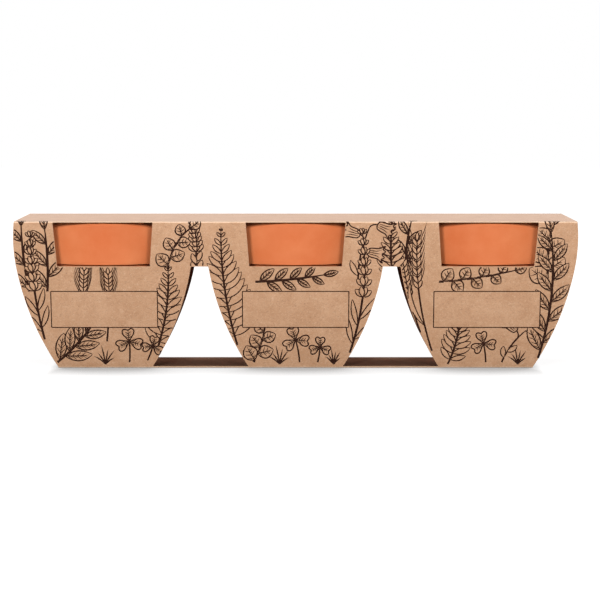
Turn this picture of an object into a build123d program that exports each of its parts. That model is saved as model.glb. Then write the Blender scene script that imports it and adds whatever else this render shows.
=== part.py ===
from build123d import *

import os
from math import atan, cos, degrees, sin, sqrt, tan

# Herb planter set: three terracotta pots in a row inside one folded sleeve of kraft card.
# Each pot holds a compressed coir disc and a paper sachet of seed. The sleeve is a single
# die-cut blank, open at both ends, so the pots slide out endways.
# Millimetres, +X along the row, the front faces -Y, +Z up, origin under the middle pot.

# Row
pot_spacing = 95.0
pot_names = ("left", "middle", "right")

# Terracotta pot: a plain flowerpot with a deep collar
pot_height = 72.4
rim_radius = 38.7
collar_height = 21.0
collar_step = 2.6
foot_radius = 22.2
pot_wall = 4.2
pot_floor = 5.0
drain_radius = 4.5
rim_chamfer = 1.2
collar_chamfer = 0.6

# Card sleeve, with the room it leaves round the pots
card = 0.5
fold_radius = 0.5
rim_gap = 0.36
foot_gap = 0.55
seat_gap = 0.3
headroom = 0.4
table_gap = 0.2
glue_line = 0.05

# Die-cut outline of the front and back panels
gap_width = 8.6
panel_foot_half = 23.6
panel_bulge = 2.8
end_top_half = 43.6
end_taper = 0.4
end_bulge = 0.8
sill_drop = 0.6
window_top_half = 24.6
window_sill_half = 22.9
tab_half = 19.0
tab_height = 11.0
tab_slope = 5.0

# What each pot holds
coir_gap = 0.6
coir_height = 14.0
coir_chamfer = 1.6
dimple_radius = 3.5
dimple_depth = 4.0
sachet_width = 28.0
sachet_gap = 0.6
sachet_paper = 0.5
sachet_fill = 1.8
sachet_seal = 3.0
sachet_slope = 2.5

# Levels that follow from the sizes above
foot_z = card + seat_gap
rim_z = foot_z + pot_height
collar_z = rim_z - collar_height
sill_z = collar_z - sill_drop
sleeve_height = rim_z + headroom + card
pot_x = [(i - (len(pot_names) - 1) / 2) * pot_spacing for i in range(len(pot_names))]
row_half = max(pot_x)

# The sleeve's front and back lean from the pot's rim to its foot, where a glue tab has room too
foot_room = card + glue_line + foot_gap
lean = atan((rim_radius + rim_gap - foot_radius - foot_room) / pot_height)

# Radii of the pot: its collar leans as the card does, its body less
collar_foot_radius = rim_radius - collar_height * tan(lean)
body_slope = (collar_foot_radius - collar_step - foot_radius) / (pot_height - collar_height)


def body_radius(height):
    """Outside of the body, carried on straight behind the collar."""
    return foot_radius + body_slope * height


def inside_radius(height):
    """Inside of the pot's wall."""
    return body_radius(height) - pot_wall


def inner_half_depth(z):
    """From the sleeve's middle to the inside face of its leaning front or back."""
    return rim_radius + rim_gap + (z - rim_z) * tan(lean)


def mid_half_depth(z):
    """From the sleeve's middle to the middle of the card's thickness."""
    return inner_half_depth(z) + card / 2 / cos(lean)


os.makedirs("parts", exist_ok=True)

# Terracotta pots
for name, x in zip(pot_names, pot_x):
    pot_plane = Plane(origin=(x, 0, foot_z), x_dir=(1, 0, 0), z_dir=(0, -1, 0))
    with BuildPart() as pot:
        with BuildSketch(pot_plane) as profile:
            with BuildLine():
                Polyline(
                    (drain_radius, 0),
                    (foot_radius, 0),
                    (body_radius(pot_height - collar_height), pot_height - collar_height),
                    (collar_foot_radius, pot_height - collar_height),
                    (rim_radius, pot_height),
                    (inside_radius(pot_height), pot_height),
                    (inside_radius(pot_floor), pot_floor),
                    (drain_radius, pot_floor),
                    close=True,
                )
            make_face()
            chamfer(profile.vertices().group_by(Axis.Y)[-1], rim_chamfer)
            collar_level = profile.vertices().group_by(Axis.Y)[2]
            chamfer(collar_level.sort_by(Axis.X)[-1], collar_chamfer)
        revolve(axis=Axis((x, 0, 0), (0, 0, 1)))
    pot.part.label = f"terracotta_pot_{name}"
    export_step(pot.part, f"parts/{pot.part.label}.step")

# Compressed coir discs, each seated on its pot's floor
coir_z = foot_z + pot_floor
coir_radius = inside_radius(pot_floor) - coir_gap
for name, x in zip(pot_names, pot_x):
    with BuildPart() as coir:
        with BuildSketch(Plane.XY.offset(coir_z)):
            with Locations((x, 0)):
                Circle(coir_radius)
        extrude(amount=coir_height)
        chamfer(coir.edges().group_by(Axis.Z)[-1], coir_chamfer)
        with BuildSketch(Plane.XY.offset(coir_z + coir_height)):
            with Locations((x, 0)):
                Circle(dimple_radius)
        extrude(amount=-dimple_depth, mode=Mode.SUBTRACT)
    coir.part.label = f"coir_disc_{name}"
    export_step(coir.part, f"parts/{coir.part.label}.step")

# Paper seed sachets, each lying on its coir disc: a sealed flat edge round a raised filling
sachet_z = coir_z + coir_height
sachet_room = inside_radius(pot_floor + coir_height) - sachet_gap
sachet_length = 2 * sqrt(sachet_room**2 - (sachet_width / 2) ** 2)
sachet_taper = degrees(atan(sachet_slope / sachet_fill))
for name, x in zip(pot_names, pot_x):
    with BuildPart() as sachet:
        with BuildSketch(Plane.XY.offset(sachet_z)):
            with Locations((x, 0)):
                Rectangle(sachet_length, sachet_width)
        extrude(amount=sachet_paper)
        with BuildSketch(Plane.XY.offset(sachet_z + sachet_paper)):
            with Locations((x, 0)):
                Rectangle(sachet_length - 2 * sachet_seal, sachet_width - 2 * sachet_seal)
        extrude(amount=sachet_fill, taper=sachet_taper)
    sachet.part.label = f"seed_sachet_{name}"
    export_step(sachet.part, f"parts/{sachet.part.label}.step")

# Card strip of the sleeve: base, front, top and back as one folded path, drawn at mid thickness
base_mid = card / 2
top_mid = sleeve_height - card / 2
base_back_half = inner_half_depth(0) - glue_line / cos(lean)
tab_face_half = inner_half_depth(card) - glue_line / cos(lean)
cut_margin = 5.0
cut_reach = row_half + end_top_half + cut_margin

with BuildSketch(Plane.XZ) as gap_outline:
    gap_half = gap_width / 2
    gap_foot_half = pot_spacing / 2 - panel_foot_half
    with BuildLine():
        foot_left = (-gap_foot_half, card)
        foot_right = (gap_foot_half, card)
        sill_left = (-gap_half, sill_z)
        sill_right = (gap_half, sill_z)
        Line(foot_left, foot_right)
        SagittaArc(foot_right, sill_right, panel_bulge)
        Line(sill_right, sill_left)
        SagittaArc(sill_left, foot_left, panel_bulge)
    make_face()

with BuildSketch(Plane.XZ) as end_outline:
    with BuildLine():
        foot = (row_half + panel_foot_half, card)
        shoulder = (row_half + end_top_half - end_taper, sill_z)
        crown = (row_half + end_top_half, sleeve_height)
        SagittaArc(foot, shoulder, -panel_bulge)
        SagittaArc(shoulder, crown, -end_bulge)
        Polyline(
            crown,
            (crown[0], sleeve_height + cut_margin),
            (cut_reach, sleeve_height + cut_margin),
            (cut_reach, -cut_margin),
            (foot[0], -cut_margin),
            foot,
        )
    make_face()

with BuildPart() as card_strip:
    with BuildSketch(Plane.YZ):
        with BuildLine():
            FilletPolyline(
                (base_back_half, base_mid),
                (-mid_half_depth(base_mid), base_mid),
                (-mid_half_depth(top_mid), top_mid),
                (mid_half_depth(top_mid), top_mid),
                (mid_half_depth(table_gap), table_gap),
                radius=fold_radius,
            )
        trace(line_width=card)
    extrude(amount=cut_reach, both=True)
    with BuildSketch(Plane.XZ):
        with Locations(*[(x, 0) for x in pot_x]):
            Polygon(
                (-window_sill_half, sill_z),
                (window_sill_half, sill_z),
                (window_top_half, sleeve_height - card),
                (-window_top_half, sleeve_height - card),
                align=None,
            )
        with Locations(*[(x + pot_spacing / 2, 0) for x in pot_x[:-1]]):
            add(gap_outline.sketch_local)
        add(end_outline.sketch_local)
        mirror(end_outline.sketch_local, about=Plane.YZ)
    extrude(amount=cut_reach, both=True, mode=Mode.SUBTRACT)

# The strip's panels, parted at their creases
crease_drop = fold_radius + card / 2
upper_crease = Plane.XY.offset(sleeve_height - crease_drop)
lower_crease = Plane.XY.offset(crease_drop)
glue_plane = Plane(
    origin=(0, inner_half_depth(0) - glue_line / 2 / cos(lean), 0),
    x_dir=(1, 0, 0),
    z_dir=(0, cos(lean), -sin(lean)),
)

with BuildPart() as top_panel:
    add(card_strip.part)
    split(bisect_by=upper_crease, keep=Keep.TOP)
top_panel.part.label = "sleeve_top_panel"

with BuildPart() as front_panel:
    add(card_strip.part)
    split(bisect_by=Plane.XZ, keep=Keep.TOP)
    split(bisect_by=upper_crease, keep=Keep.BOTTOM)
    split(bisect_by=lower_crease, keep=Keep.TOP)
front_panel.part.label = "sleeve_front_panel"

with BuildPart() as back_panel:
    add(card_strip.part)
    split(bisect_by=glue_plane, keep=Keep.TOP)
    split(bisect_by=upper_crease, keep=Keep.BOTTOM)
back_panel.part.label = "sleeve_back_panel"

with BuildPart() as base_panel:
    add(card_strip.part)
    split(bisect_by=glue_plane, keep=Keep.BOTTOM)
    split(bisect_by=lower_crease, keep=Keep.BOTTOM)
base_panel.part.label = "sleeve_base_panel"

# Glue tabs: they fold up from the base panel's back edge and close the strip inside the back panel
tab_plane = Plane(
    origin=(0, tab_face_half, card),
    x_dir=(1, 0, 0),
    z_dir=(0, -cos(lean), sin(lean)),
)
with BuildPart() as glue_tabs:
    with BuildSketch(tab_plane):
        with Locations(*[(x, 0) for x in pot_x]):
            Polygon(
                (-tab_half, 0),
                (tab_half, 0),
                (tab_half - tab_slope, tab_height),
                (tab_slope - tab_half, tab_height),
                align=None,
            )
    extrude(amount=card)
glue_tabs.part.label = "sleeve_glue_tabs"

for panel in (top_panel, front_panel, back_panel, base_panel, glue_tabs):
    export_step(panel.part, f"parts/{panel.part.label}.step")
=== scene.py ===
# %% [markdown]
# # Three herb pots in a printed card sleeve
#
# The object is a small gift set: three terracotta pots stand in a row inside one folded sleeve of
# kraft card. Windows in the card show the collars of the pots, and a dark line drawing of plants is
# printed on it. The imported CAD model gives every place and size, so it is loaded first.

# %% Load the CAD frame
import cmath
from collections import namedtuple
from math import asin, atan, cos, pi, radians, sin, sqrt, tan

import bmesh
import bpy
import numpy as np
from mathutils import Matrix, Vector, noise


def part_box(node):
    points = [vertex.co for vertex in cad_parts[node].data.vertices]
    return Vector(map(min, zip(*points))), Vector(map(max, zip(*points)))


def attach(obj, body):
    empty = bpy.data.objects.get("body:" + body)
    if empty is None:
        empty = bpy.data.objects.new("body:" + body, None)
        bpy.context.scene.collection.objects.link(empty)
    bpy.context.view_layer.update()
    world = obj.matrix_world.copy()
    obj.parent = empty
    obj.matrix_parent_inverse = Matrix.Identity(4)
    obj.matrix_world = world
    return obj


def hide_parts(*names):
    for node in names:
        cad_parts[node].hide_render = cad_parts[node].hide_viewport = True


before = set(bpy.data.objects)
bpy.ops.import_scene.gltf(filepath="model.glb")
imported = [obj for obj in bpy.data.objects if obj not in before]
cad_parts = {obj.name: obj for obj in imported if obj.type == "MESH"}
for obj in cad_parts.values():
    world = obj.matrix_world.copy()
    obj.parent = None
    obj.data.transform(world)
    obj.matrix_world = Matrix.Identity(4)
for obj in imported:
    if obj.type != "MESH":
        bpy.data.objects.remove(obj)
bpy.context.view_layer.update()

MM = 0.001
POTS = ("left", "middle", "right")
pot_box = {name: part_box(f"terracotta_pot_{name}") for name in POTS}
pot_x = {name: (low.x + high.x) / 2 / MM for name, (low, high) in pot_box.items()}
print("pots stand at", [round(x, 2) for x in pot_x.values()], "mm along the row")

# %% [markdown]
# ## The camera
#
# The photograph looks straight at the front from a little above, and from far away, so the row hardly
# narrows towards its back. A camera without perspective would come close, but the strip of the top
# would then keep its full length at the back edge. A long lens at 1.3 m keeps that narrowing. The camera
# is made first, because every later choice is judged through it. A small shift puts the row where the
# photograph has it, a little above and left of the middle.

# %% Camera
PHOTO_PIXELS = 600
LENS_MM = 154.0
EYE = Vector((0, -1300, 142)) * MM
AIM = Vector((0, 0, 36.75)) * MM
ROW_CENTRE = (295.6, 290.8)  # pixels across and down in the photograph


def facing(place, target):
    """The turn that makes a camera or a lamp at a place look at a target."""
    return (Vector(target) - Vector(place)).to_track_quat("-Z", "Y").to_euler()


camera = bpy.data.objects.new("photo_camera", bpy.data.cameras.new("photo_camera"))
bpy.context.scene.collection.objects.link(camera)
bpy.context.scene.camera = camera
camera.location = EYE
camera.rotation_euler = facing(EYE, AIM)
camera.data.lens = LENS_MM
camera.data.shift_x = (PHOTO_PIXELS / 2 - ROW_CENTRE[0]) / PHOTO_PIXELS
camera.data.shift_y = (ROW_CENTRE[1] - PHOTO_PIXELS / 2) / PHOTO_PIXELS
bpy.context.scene.view_settings.view_transform = "Standard"
print("camera at", [round(c, 3) for c in camera.location], "m, lens", LENS_MM, "mm")

# %% [markdown]
# ## Helpers for materials
#
# Colours are written as sRGB hex values, as a paint chart gives them, and one function turns them to
# the linear values that the shaders work in. Nodes could be added line by line, but a material would
# then run to a page. So one more function adds a node with its settings, input values and links, and
# each material below reads as a short list of what it is made of. A Mix node has a set of sockets for
# every type of data, so the ones that mix colours are named here.

# %% Colour and node helpers
SHARE, FIRST, SECOND, MIXED = 0, 6, 7, 2  # a colour Mix node's three inputs, and its output


def linear(hex_colour):
    """An sRGB hex colour such as #C89B78 as linear red, green, blue and alpha."""
    shares = [int(hex_colour[i:i + 2], 16) / 255 for i in (1, 3, 5)]
    return [s / 12.92 if s <= 0.04045 else ((s + 0.055) / 1.055) ** 2.4 for s in shares] + [1.0]


def add_node(tree, kind, values=None, links=None, **settings):
    """Adds one node: settings are its own options, values go into inputs, links come from outputs."""
    node = tree.nodes.new(kind)
    for name, setting in settings.items():
        setattr(node, name, setting)
    for name, value in (values or {}).items():
        node.inputs[name].default_value = value
    for name, output in (links or {}).items():
        tree.links.new(output, node.inputs[name])
    return node


def new_material(name):
    """An empty node material with its shader, output and object coordinates in metres."""
    material = bpy.data.materials.new(name)
    material.use_nodes = True
    tree = material.node_tree
    tree.nodes.clear()
    shader = add_node(tree, "ShaderNodeBsdfPrincipled")
    add_node(tree, "ShaderNodeOutputMaterial", links={"Surface": shader.outputs["BSDF"]})
    place = add_node(tree, "ShaderNodeTexCoord").outputs["Object"]
    return material, tree, shader, place


def per_mm(size):
    """Noise scale, in features per metre, that gives features about this many millimetres across."""
    return 1 / (size * MM)


print("a mid grey, #808080, is", round(linear("#808080")[0], 3), "in linear light")

# %% [markdown]
# ## Kraft card
#
# The sleeve is uncoated kraft board: unbleached wood pulp, pressed matt. Up close it is not one brown.
# The pulp clouds it in patches about a centimetre wide, long fibres cross it as fine light and dark
# flecks, and its face is slightly rough. A picture of card could be wrapped round the model, but it
# would stretch at the folds, so noises on object coordinates give each of those sizes instead. Real
# fibres are about 0.1 by 1.5 mm, and the grain of the face is as fine. Both are drawn coarser here, so
# that they show in the picture.
#
# One board has four looks. Its outside is the pressed side, with a soft sheen. Its inside is dull, and its
# colour is painted darker, a painted shade for the shaded inside of the sleeve. A cut edge shows loose pulp
# and is lighter. A crease is lighter too: the scored fibres are stretched open, and its colour also paints the
# highlight along the round fold. So one function makes the board, and four sets of colours make its finishes.
# The shader's own IOR of 1.5 suits wood fibre, and only the strength of the gloss differs.

# %% Kraft card material
PULP_CLOUD, FACE_GRAIN, GRAIN_DEPTH = 9.0, 0.5, 0.05
FIBRE_WIDTH, FIBRE_STRETCH = 0.3, 6.0
FIBRE_TURNS = (15, 55, 100, 150)


def kraft_material(name, face, cloud, dark_fibre, light_fibre, gloss):
    """Kraft board with clouded pulp, crossing fibres and a matt, slightly rough face."""
    material, tree, shader, place = new_material(name)
    pulp = add_node(tree, "ShaderNodeTexNoise",
                    {"Scale": per_mm(PULP_CLOUD), "Detail": 6, "Roughness": 0.68}, {"Vector": place})
    patches = add_node(tree, "ShaderNodeMapRange", {"From Min": 0.34, "From Max": 0.68},
                       {"Value": pulp.outputs["Fac"]})
    colour = add_node(tree, "ShaderNodeMix", {FIRST: linear(face), SECOND: linear(cloud)},
                      {SHARE: patches.outputs["Result"]}, data_type="RGBA")
    for turn, tint in zip(FIBRE_TURNS, (dark_fibre, light_fibre) * 2):
        laid_fibre = add_node(tree, "ShaderNodeMapping",
                              {"Rotation": (0, radians(turn), 0), "Scale": (FIBRE_STRETCH, 1, 1)},
                              {"Vector": place}, vector_type="TEXTURE")
        fibre = add_node(tree, "ShaderNodeTexNoise", {"Scale": per_mm(FIBRE_WIDTH), "Detail": 1},
                         {"Vector": laid_fibre.outputs["Vector"]})
        shown = add_node(tree, "ShaderNodeMapRange", {"From Min": 0.58, "From Max": 0.78, "To Max": 0.5},
                         {"Value": fibre.outputs["Fac"]})
        colour = add_node(tree, "ShaderNodeMix", {SECOND: linear(tint)},
                          {SHARE: shown.outputs["Result"], FIRST: colour.outputs[MIXED]}, data_type="RGBA")
    tree.links.new(colour.outputs[MIXED], shader.inputs["Base Color"])
    grain = add_node(tree, "ShaderNodeTexNoise",
                     {"Scale": per_mm(FACE_GRAIN), "Detail": 3, "Roughness": 0.7}, {"Vector": place})
    bump = add_node(tree, "ShaderNodeBump", {"Strength": 0.35, "Distance": GRAIN_DEPTH * MM},
                    {"Height": grain.outputs["Fac"]})
    tree.links.new(bump.outputs["Normal"], shader.inputs["Normal"])
    shader.inputs["Roughness"].default_value = 0.6 if gloss else 1.0
    shader.inputs["Specular IOR Level"].default_value = gloss
    shader.inputs["Sheen Weight"].default_value = gloss / 2
    shader.inputs["Sheen Roughness"].default_value = 0.35
    return material


card_outside = kraft_material("kraft_card_outside", "#D0A380", "#C0916D", "#956A4C", "#E3C4A6", 0.3)
# painted shade: the inside is coloured darker than the outside, for the shade inside the sleeve
card_inside_painted_shade = kraft_material("kraft_card_inside", "#8C6B58", "#7D5D4B", "#5C4032", "#A2826C", 0.0)
card_edge = kraft_material("kraft_card_cut_edge", "#D9B592", "#CCA27D", "#A67C5A", "#EBD2B6", 0.2)
# partly painted highlight: the crease is coloured lighter for its stretched fibres and for the highlight along
# the round fold
card_crease_painted_highlight = kraft_material("kraft_card_crease", "#F2D0B2", "#E7C3A2", "#BE9674", "#F8E4D0", 0.3)
print("card finishes:", card_outside.name, card_inside_painted_shade.name, card_edge.name, card_crease_painted_highlight.name)

# %% [markdown]
# ## The sleeve's section
#
# The real sleeve is one flat blank, die-cut and creased, then folded round the pots and glued. Its
# panels could be modelled one by one and set edge to edge, but each fold would then be a sharp seam.
# The piece here is made as the real one is, because then every fold is round and every cut edge has the
# card's thickness. First comes the section: the line that the middle of the card follows, seen from the
# end. It runs from a glue tab down to the base, along the base to the front, up the leaning front, back
# over the top and down the leaning back. A complex number holds one of its points: y is the real part
# and z the imaginary one, so a heading is an angle and a turn is a product.

# %% Sleeve sizes, as in the CAD model
card = 0.5
fold_radius = 0.5
rim_gap, foot_gap, seat_gap, headroom, table_gap, glue_line = 0.36, 0.55, 0.3, 0.4, 0.2, 0.05
pot_height, rim_radius, foot_radius = 72.4, 38.7, 22.2
collar_height, sill_drop = 21.0, 0.6

rim_z = card + seat_gap + pot_height
sill_z = rim_z - collar_height - sill_drop
sleeve_height = rim_z + headroom + card
lean = atan((rim_radius + rim_gap - foot_radius - card - glue_line - foot_gap) / pot_height)
print("its front and back lean by", round(lean * 180 / pi, 2), "degrees")


# %% Corners of the section
def inner_half_depth(z):
    """From the sleeve's middle to the inside face of its leaning front or back."""
    return rim_radius + rim_gap + (z - rim_z) * tan(lean)


def leaning_point(z, inset):
    """A point at height z, set in from the inside face of the back panel."""
    return complex(inner_half_depth(z) - inset / cos(lean), z)


tab_height = 11.0
base_mid, top_mid = card / 2, sleeve_height - card / 2
tab_inset = glue_line + card / 2
corners = [
    leaning_point(card + tab_height * cos(lean), tab_inset),
    leaning_point(base_mid, tab_inset),
    -leaning_point(base_mid, -card / 2).conjugate(),
    -leaning_point(top_mid, -card / 2).conjugate(),
    leaning_point(top_mid, -card / 2),
    leaning_point(table_gap, -card / 2),
]
print("section corners", [(round(c.real, 1), round(c.imag, 1)) for c in corners])

# %% Runs and folds along the section
Run = namedtuple("Run", "distance start heading curvature length")


def section_runs(points, radius):
    """The straight runs and round folds along the corners, in order."""
    runs, distance, start = [], 0.0, points[0]
    for here, corner, after in zip(points, points[1:], points[2:] + [None]):
        heading = cmath.phase(corner - here)
        turn = 0.0 if after is None else cmath.phase((after - corner) / (corner - here))
        end = corner - cmath.rect(radius * tan(abs(turn) / 2), heading)
        runs.append(Run(distance, start, heading, 0.0, abs(end - start)))
        distance += abs(end - start)
        if after is not None:
            runs.append(Run(distance, end, heading, turn / abs(turn) / radius, radius * abs(turn)))
            distance += radius * abs(turn)
            start = corner + cmath.rect(radius * tan(abs(turn) / 2), cmath.phase(after - corner))
    return runs


runs = section_runs(corners, fold_radius)
TAB, TAB_FOLD, BASE, FOOT_FOLD, FRONT, TOP_FOLD, TOP, BACK_FOLD, BACK = runs
blank_length = BACK.distance + BACK.length


def fold_point(across, along, out):
    """Where a point of the flat blank goes when the card is folded: millimetres in, metres out."""
    run = next((run for run in runs if along <= run.distance + run.length), runs[-1])
    travelled = along - run.distance
    direction = cmath.rect(1, run.heading + run.curvature * travelled)
    if run.curvature:
        point = run.start + (direction - cmath.rect(1, run.heading)) / (1j * run.curvature)
    else:
        point = run.start + travelled * direction
    point += out * 1j * direction
    return Vector((across, point.real, point.imag)) * MM


print("the flat blank is", round(blank_length, 1), "mm long, tab to back foot")

# %% [markdown]
# ## The die-cut blank
#
# The outline of the blank has straight creases and shallow arcs, which follow the swell of the pots.
# Windows and gaps could be cut out of a folded sleeve with booleans, but a die cuts flat card, and a
# flat outline is easier to draw. So it is drawn as a filled two-dimensional curve, with the windows and
# the front gaps as holes, because Blender fills such a curve and gives it the card's thickness in one
# step. Heights are first given as the CAD model has them, up from the table, and are then laid out along
# the blank. At the foot of each front gap the cut stops a little above the fold and leaves a thin lip,
# and at the back edge the base turns up a little between its glue tabs and the cut-outs.

# %% Places on the blank
pot_spacing = pot_x["right"] - pot_x["middle"]
row_end = pot_x["right"]
gap_x = [(pot_x["left"] + pot_x["middle"]) / 2, (pot_x["middle"] + pot_x["right"]) / 2]
ARC_POINTS = 14


def front_along(z):
    """Distance along the blank of height z on the front panel."""
    return FRONT.distance + (z - FRONT.start.imag) / cos(lean)


def back_along(z):
    """Distance along the blank of height z on the back panel, which mirrors the front."""
    return 2 * (TOP.distance + TOP.length / 2) - front_along(z)


def laid(outline, along):
    """An outline given in heights, laid out on the blank."""
    return np.array([(x, along(z)) for x, z in outline])


def bow(start, end, bulge):
    """Points on the arc from start to end that swells to the right of the way by bulge."""
    start, end = np.array(start, float), np.array(end, float)
    chord = float(np.linalg.norm(end - start))
    ahead = (end - start) / chord
    aside = np.array([ahead[1], -ahead[0]])
    radius = chord**2 / 8 / bulge + bulge / 2
    angle = np.linspace(-1, 1, ARC_POINTS)[:, None] * asin(chord / 2 / radius)
    middle = (start + end) / 2 + aside * (bulge - radius)
    return middle + radius * (np.sin(angle) * ahead + np.cos(angle) * aside)


print("the window sill lies", round(front_along(sill_z), 1), "mm along the blank")

# %% Windows, gaps and ends
gap_half, panel_foot_half, panel_bulge = 4.3, 23.6, 2.8
end_top_half, end_taper, end_bulge = 43.6, 0.4, 0.8
window_top_half, window_sill_half = 24.6, 22.9


def window_outline(x, grow=0.0):
    """A window's four corners, as (across, height)."""
    sill, top = sill_z - grow, sleeve_height - card
    sill_half, top_half = window_sill_half + grow, window_top_half + grow
    return np.array([(x - sill_half, sill), (x + sill_half, sill), (x + top_half, top), (x - top_half, top)])


def gap_outline(x, grow=0.0, foot=card):
    """A gap between two pots, narrow at the sill and wide at the foot."""
    foot_half = pot_spacing / 2 - panel_foot_half + grow
    right = bow((x + foot_half, foot), (x + gap_half + grow, sill_z + grow), -panel_bulge)
    left = bow((x - gap_half - grow, sill_z + grow), (x - foot_half, foot), -panel_bulge)
    return np.vstack([right, left])


def end_outline(shrink=0.0):
    """The right end of the front panel, from its foot to its crown."""
    foot = (row_end + panel_foot_half - shrink, card)
    shoulder = (row_end + end_top_half - end_taper - shrink, sill_z)
    crown = (row_end + end_top_half - shrink, sleeve_height)
    return np.vstack([bow(foot, shoulder, panel_bulge), bow(shoulder, crown, end_bulge)[1:]])


window_height = sleeve_height - card - sill_z
print("a window is", 2 * window_top_half, "mm wide at its top and", round(window_height, 1), "mm high")

# %% Outline of the whole blank
tab_half, tab_slope = 19.0, 5.0
gap_lip = 0.3

right_side = np.vstack([
    [(row_end + panel_foot_half, BASE.distance)],
    laid(end_outline(), front_along),
    laid(end_outline()[::-1], back_along),
    [(row_end + panel_foot_half, blank_length)],
])
left_side = right_side[::-1] * (-1, 1)
back_foot = [laid(gap_outline(x, foot=table_gap), back_along) for x in gap_x[::-1]]
turned_up = TAB_FOLD.distance + TAB_FOLD.length / 3
half_tab = [(-panel_foot_half, BASE.distance), (-panel_foot_half, turned_up), (-tab_half, turned_up),
            (tab_slope - tab_half, 0)]
tab = np.vstack([half_tab, np.array(half_tab[::-1]) * (-1, 1)])
tabs = [tab + (x, 0) for x in pot_x.values()]
blank_edge = np.vstack([right_side[1:], *back_foot, left_side[:-1], *tabs])
blank_holes = [laid(gap_outline(x, foot=card + gap_lip), front_along) for x in gap_x]
for along in (front_along, back_along):
    blank_holes += [laid(window_outline(x), along) for x in pot_x.values()]
print("blank outline has", len(blank_edge), "points and", len(blank_holes), "holes")

# %% [markdown]
# ## Folding the blank
#
# Card bends only along its creases. A bend modifier would need a pass for each fold, and would bend the
# flat panels with it. Here the flat mesh is scored across by closely spaced cuts inside each fold, and
# nowhere else, and every point is then moved to where the section takes it. The faces are sorted first:
# the upper side of the blank becomes the outside of the sleeve, the lower side its inside, and the walls
# its cut edges. After the folding, an outside face that is neither level nor leaning with a panel lies
# in a fold, and gets the lighter finish of a crease, which partly paints the highlight along the fold.

# %% Helpers for curves and pieces
def link_piece(name, mesh, body, slot, *replaced):
    """Puts a finished mesh in the scene as a piece of the object."""
    piece = bpy.data.objects.new(name, mesh)
    bpy.context.scene.collection.objects.link(piece)
    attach(piece, body)
    if replaced:
        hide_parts(*replaced)
    print(name, "has", len(mesh.polygons), "faces")


def curve_mesh(curve):
    """The mesh that a curve makes, with the curve itself taken away again."""
    drawn = bpy.data.objects.new("drawing", curve)
    bpy.context.scene.collection.objects.link(drawn)
    bpy.context.view_layer.update()
    mesh = bpy.data.meshes.new_from_object(drawn.evaluated_get(bpy.context.evaluated_depsgraph_get()))
    bpy.data.objects.remove(drawn)
    bpy.data.curves.remove(curve)
    return mesh


def add_line(curve, points, radius=1.0, closed=False):
    """Adds one line of points to a curve, with a share of its bevel for each point."""
    points = np.asarray(points, float)
    held = np.zeros((len(points), 4))
    held[:, :points.shape[1]] = points
    held[:, 3] = 1
    spline = curve.splines.new("POLY")
    spline.points.add(len(points) - 1)
    spline.points.foreach_set("co", held.ravel())
    spline.points.foreach_set("radius", np.zeros(len(points)) + radius)
    spline.use_cyclic_u = closed


print("a line of points is added to a curve by", add_line.__name__, "and made a mesh by", curve_mesh.__name__)

# %% Scores and folds
FOLD_STEPS = 7
fold_rows = [fold.distance + fold.length * step / FOLD_STEPS
             for fold in (TAB_FOLD, FOOT_FOLD, TOP_FOLD, BACK_FOLD) for step in range(FOLD_STEPS + 1)]


def fold_mesh(flat, rows):
    """Scores a flat bmesh at the given rows of its folds, then folds it as the card is folded."""
    for row in rows:
        bmesh.ops.bisect_plane(flat, geom=flat.verts[:] + flat.edges[:] + flat.faces[:], dist=1e-5,
                               plane_co=(0, row, 0), plane_no=(0, 1, 0))
    for vert in flat.verts:
        vert.co = fold_point(*vert.co)


print("the blank is scored at", len(fold_rows), "rows")

# %% Cut, crease and fold the blank
INK_RISE = 0.02  # the faces lie this much lower, so that the print stays inside the card's thickness
OUTSIDE, INSIDE, CUT_EDGE, CREASE = 0, 1, 2, 3
PANEL_TILT, LEVEL_TILT = sin(lean) + 0.05, 0.98

blank = bpy.data.curves.new("blank", "CURVE")
blank.dimensions = "2D"
blank.fill_mode = "BOTH"
blank.extrude = card / 2 - INK_RISE
for outline in (blank_edge, *blank_holes):
    add_line(blank, outline, closed=True)
sleeve_mesh = curve_mesh(blank)

flat = bmesh.new()
flat.from_mesh(sleeve_mesh)
bmesh.ops.remove_doubles(flat, verts=flat.verts, dist=1e-4)
bmesh.ops.recalc_face_normals(flat, faces=flat.faces)
for face in flat.faces:
    face.material_index = CUT_EDGE if abs(face.normal.z) < 0.5 else OUTSIDE if face.normal.z > 0 else INSIDE
    face.smooth = True
fold_mesh(flat, fold_rows)
flat.normal_update()
for face in flat.faces:
    # fold faces get the lighter crease finish, which partly paints the folds' highlight
    if face.material_index == OUTSIDE and PANEL_TILT < abs(face.normal.z) < LEVEL_TILT:
        face.material_index = CREASE
sleeve_mesh.materials.clear()
for material in (card_outside, card_inside_painted_shade, card_edge, card_crease_painted_highlight):
    sleeve_mesh.materials.append(material)
flat.to_mesh(sleeve_mesh)
flat.free()
sleeve_mesh.set_sharp_from_angle(angle=radians(40))
link_piece("card_sleeve", sleeve_mesh, "sleeve", "kraft_card", "sleeve_front_panel", "sleeve_back_panel",
           "sleeve_top_panel", "sleeve_base_panel", "sleeve_glue_tabs")

# %% [markdown]
# ## The printed drawing
#
# The card is printed in one dark brown ink, before it is cut and folded: a pen drawing of herbs and
# meadow plants, with a plain framed label on the front of each pot. It could be a picture laid on the
# card, but a pen drawing is a set of strokes, and strokes stay sharp at any distance, so it is drawn here
# as strokes too. Each one is a line of points on the flat paper, with a width that thins towards its
# ends. The paper is measured in millimetres: along the row, and up the leaning card. What is drawn first
# lies in front: a finished leaf covers its own outline, and later strokes stop there. In the same way
# every stroke stops at the cut edges, at the windows and at the label frames.

# %% Paper
INK_MARGIN, INK_WRAP = 0.3, 12.0
strokes, covers = [], []


def on_paper(outline):
    """An outline given in heights, measured up the leaning card instead."""
    return np.array(outline) / (1, cos(lean))


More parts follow.
